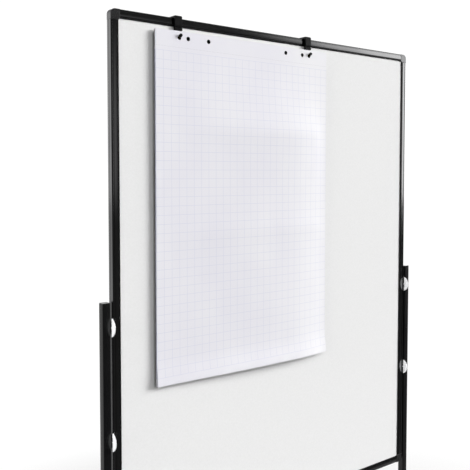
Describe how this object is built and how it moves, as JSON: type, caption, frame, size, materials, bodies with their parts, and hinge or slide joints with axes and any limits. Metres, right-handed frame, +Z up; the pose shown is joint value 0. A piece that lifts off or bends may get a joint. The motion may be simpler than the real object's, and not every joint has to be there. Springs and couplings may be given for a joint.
{
  "type": "flipchart easel",
  "caption": "Framed presentation board on side posts and castor feet, with a flipchart pad hung from hooks over its top rail.",
  "frame": {"origin": "on the floor under the middle of the object", "axes": "+Z up, -Y out of the front of the board, +X to the right seen from the front"},
  "size_m": [1.277, 0.56, 1.956],
  "materials": {
    "black_aluminium": "black anodised, satin, fine extrusion lines",
    "black_plastic": "moulded, fine grain",
    "black_steel": "black powder coat",
    "satin_metal": "satin",
    "peg_metal": "darkened, with a black fluted head",
    "panel_surface": "pale grey felt with a very fine texture",
    "panel_core": "soft board",
    "pad_paper": "white paper with a pale 25 mm grid",
    "pad_card": "dark grey board",
    "grey_rubber": "soft grey tread"
  },
  "bodies": {
    "root": {"frame_rail_top": "black_aluminium", "frame_rail_bottom": "black_aluminium", "frame_rail_left": "black_aluminium", "frame_rail_right": "black_aluminium", "corner_cap_top_left": "black_plastic", "corner_cap_top_right": "black_plastic", "corner_cap_bottom_left": "black_plastic", "corner_cap_bottom_right": "black_plastic", "panel_front_skin": "panel_surface", "panel_core": "panel_core", "panel_rear_skin": "panel_surface", "post_left": "black_aluminium", "post_cap_left": "black_plastic", "post_socket_left": "black_steel", "foot_beam_left": "black_steel", "foot_end_cap_left_front": "black_plastic", "castor_bush_left_front": "black_plastic", "foot_end_cap_left_rear": "black_plastic", "castor_bush_left_rear": "black_plastic", "lock_spacer_left_lower": "black_plastic", "lock_spacer_left_upper": "black_plastic", "post_right": "black_aluminium", "post_cap_right": "black_plastic", "post_socket_right": "black_steel", "foot_beam_right": "black_steel", "foot_end_cap_right_front": "black_plastic", "castor_bush_right_front": "black_plastic", "foot_end_cap_right_rear": "black_plastic", "castor_bush_right_rear": "black_plastic", "lock_spacer_right_lower": "black_plastic", "lock_spacer_right_upper": "black_plastic"},
    "hook_left": {"pad_hook_left": "black_plastic", "hook_peg_left": "peg_metal"},
    "hook_right": {"pad_hook_right": "black_plastic", "hook_peg_right": "peg_metal"},
    "pad": {"pad_backing_board": "pad_card", "pad_sheet_block": "pad_paper"},
    "top_sheet": {"pad_top_sheet": "pad_paper"},
    "lock_left_lower": {"board_lock_left_lower": "satin_metal"},
    "lock_left_upper": {"board_lock_left_upper": "satin_metal"},
    "lock_right_lower": {"board_lock_right_lower": "satin_metal"},
    "lock_right_upper": {"board_lock_right_upper": "satin_metal"},
    "castor_left_front": {"castor_housing_left_front": "black_plastic", "castor_axle_left_front": "satin_metal"},
    "wheel_a_left_front": {"castor_wheel_a_left_front": "grey_rubber"},
    "wheel_b_left_front": {"castor_wheel_b_left_front": "grey_rubber"},
    "brake_left_front": {"castor_brake_left_front": "black_plastic"},
    "castor_left_rear": {"castor_housing_left_rear": "black_plastic", "castor_axle_left_rear": "satin_metal"},
    "wheel_a_left_rear": {"castor_wheel_a_left_rear": "grey_rubber"},
    "wheel_b_left_rear": {"castor_wheel_b_left_rear": "grey_rubber"},
    "castor_right_front": {"castor_housing_right_front": "black_plastic", "castor_axle_right_front": "satin_metal"},
    "wheel_a_right_front": {"castor_wheel_a_right_front": "grey_rubber"},
    "wheel_b_right_front": {"castor_wheel_b_right_front": "grey_rubber"},
    "brake_right_front": {"castor_brake_right_front": "black_plastic"},
    "castor_right_rear": {"castor_housing_right_rear": "black_plastic", "castor_axle_right_rear": "satin_metal"},
    "wheel_a_right_rear": {"castor_wheel_a_right_rear": "grey_rubber"},
    "wheel_b_right_rear": {"castor_wheel_b_right_rear": "grey_rubber"}
  },
  "joints": [
    {"name": "hook_left_slide", "type": "slide", "parent": "root", "child": "hook_left", "axis": [1, 0, 0], "range_m": [-0.09, 0.38]},
    {"name": "hook_right_slide", "type": "slide", "parent": "root", "child": "hook_right", "axis": [1, 0, 0], "range_m": [-0.09, 0.38]},
    {"name": "pad_swing", "type": "hinge", "parent": "hook_left", "child": "pad", "pos_m": [-0.147, -0.0159, 1.9126], "axis": [-1, 0, 0], "range_deg": [0, 4]},
    {"name": "top_sheet_flip", "type": "hinge", "parent": "pad", "child": "top_sheet", "pos_m": [-0.147, -0.0228, 1.8676], "axis": [-1, 0, 0], "range_deg": [0, 135]},
    {"name": "lock_left_lower_turn", "type": "hinge", "parent": "root", "child": "lock_left_lower", "pos_m": [-0.6035, -0.012, 0.805], "axis": [0, 1, 0], "range_deg": [0, 90]},
    {"name": "lock_left_upper_turn", "type": "hinge", "parent": "root", "child": "lock_left_upper", "pos_m": [-0.6035, -0.012, 1.113], "axis": [0, 1, 0], "range_deg": [0, 90]},
    {"name": "lock_right_lower_turn", "type": "hinge", "parent": "root", "child": "lock_right_lower", "pos_m": [0.6035, -0.012, 0.805], "axis": [0, 1, 0], "range_deg": [0, 90]},
    {"name": "lock_right_upper_turn", "type": "hinge", "parent": "root", "child": "lock_right_upper", "pos_m": [0.6035, -0.012, 1.113], "axis": [0, 1, 0], "range_deg": [0, 90]},
    {"name": "castor_left_front_swivel", "type": "hinge", "parent": "root", "child": "castor_left_front", "pos_m": [-0.6185, -0.255, 0.07], "axis": [0, 0, 1], "continuous": true},
    {"name": "wheel_a_left_front_spin", "type": "hinge", "parent": "castor_left_front", "child": "wheel_a_left_front", "pos_m": [-0.6185, -0.237, 0.025], "axis": [1, 0, 0], "continuous": true},
    {"name": "wheel_b_left_front_spin", "type": "hinge", "parent": "castor_left_front", "child": "wheel_b_left_front", "pos_m": [-0.6185, -0.237, 0.025], "axis": [1, 0, 0], "continuous": true},
    {"name": "brake_left_front_press", "type": "hinge", "parent": "castor_left_front", "child": "brake_left_front", "pos_m": [-0.6185, -0.20709, 0.03895], "axis": [-1, 0, 0], "range_deg": [0, 18]},
    {"name": "castor_left_rear_swivel", "type": "hinge", "parent": "root", "child": "castor_left_rear", "pos_m": [-0.6185, 0.255, 0.07], "axis": [0, 0, 1], "continuous": true},
    {"name": "wheel_a_left_rear_spin", "type": "hinge", "parent": "castor_left_rear", "child": "wheel_a_left_rear", "pos_m": [-0.6185, 0.237, 0.025], "axis": [1, 0, 0], "continuous": true},
    {"name": "wheel_b_left_rear_spin", "type": "hinge", "parent": "castor_left_rear", "child": "wheel_b_left_rear", "pos_m": [-0.6185, 0.237, 0.025], "axis": [1, 0, 0], "continuous": true},
    {"name": "castor_right_front_swivel", "type": "hinge", "parent": "root", "child": "castor_right_front", "pos_m": [0.6185, -0.255, 0.07], "axis": [0, 0, 1], "continuous": true},
    {"name": "wheel_a_right_front_spin", "type": "hinge", "parent": "castor_right_front", "child": "wheel_a_right_front", "pos_m": [0.6185, -0.237, 0.025], "axis": [1, 0, 0], "continuous": true},
    {"name": "wheel_b_right_front_spin", "type": "hinge", "parent": "castor_right_front", "child": "wheel_b_right_front", "pos_m": [0.6185, -0.237, 0.025], "axis": [1, 0, 0], "continuous": true},
    {"name": "brake_right_front_press", "type": "hinge", "parent": "castor_right_front", "child": "brake_right_front", "pos_m": [0.6185, -0.20709, 0.03895], "axis": [-1, 0, 0], "range_deg": [0, 18]},
    {"name": "castor_right_rear_swivel", "type": "hinge", "parent": "root", "child": "castor_right_rear", "pos_m": [0.6185, 0.255, 0.07], "axis": [0, 0, 1], "continuous": true},
    {"name": "wheel_a_right_rear_spin", "type": "hinge", "parent": "castor_right_rear", "child": "wheel_a_right_rear", "pos_m": [0.6185, 0.237, 0.025], "axis": [1, 0, 0], "continuous": true},
    {"name": "wheel_b_right_rear_spin", "type": "hinge", "parent": "castor_right_rear", "child": "wheel_b_right_rear", "pos_m": [0.6185, 0.237, 0.025], "axis": [1, 0, 0], "continuous": true}
  ],
  "couplings": [
    {"joint": "hook_right_slide", "follows": "hook_left_slide", "ratio": 1}
  ]
}
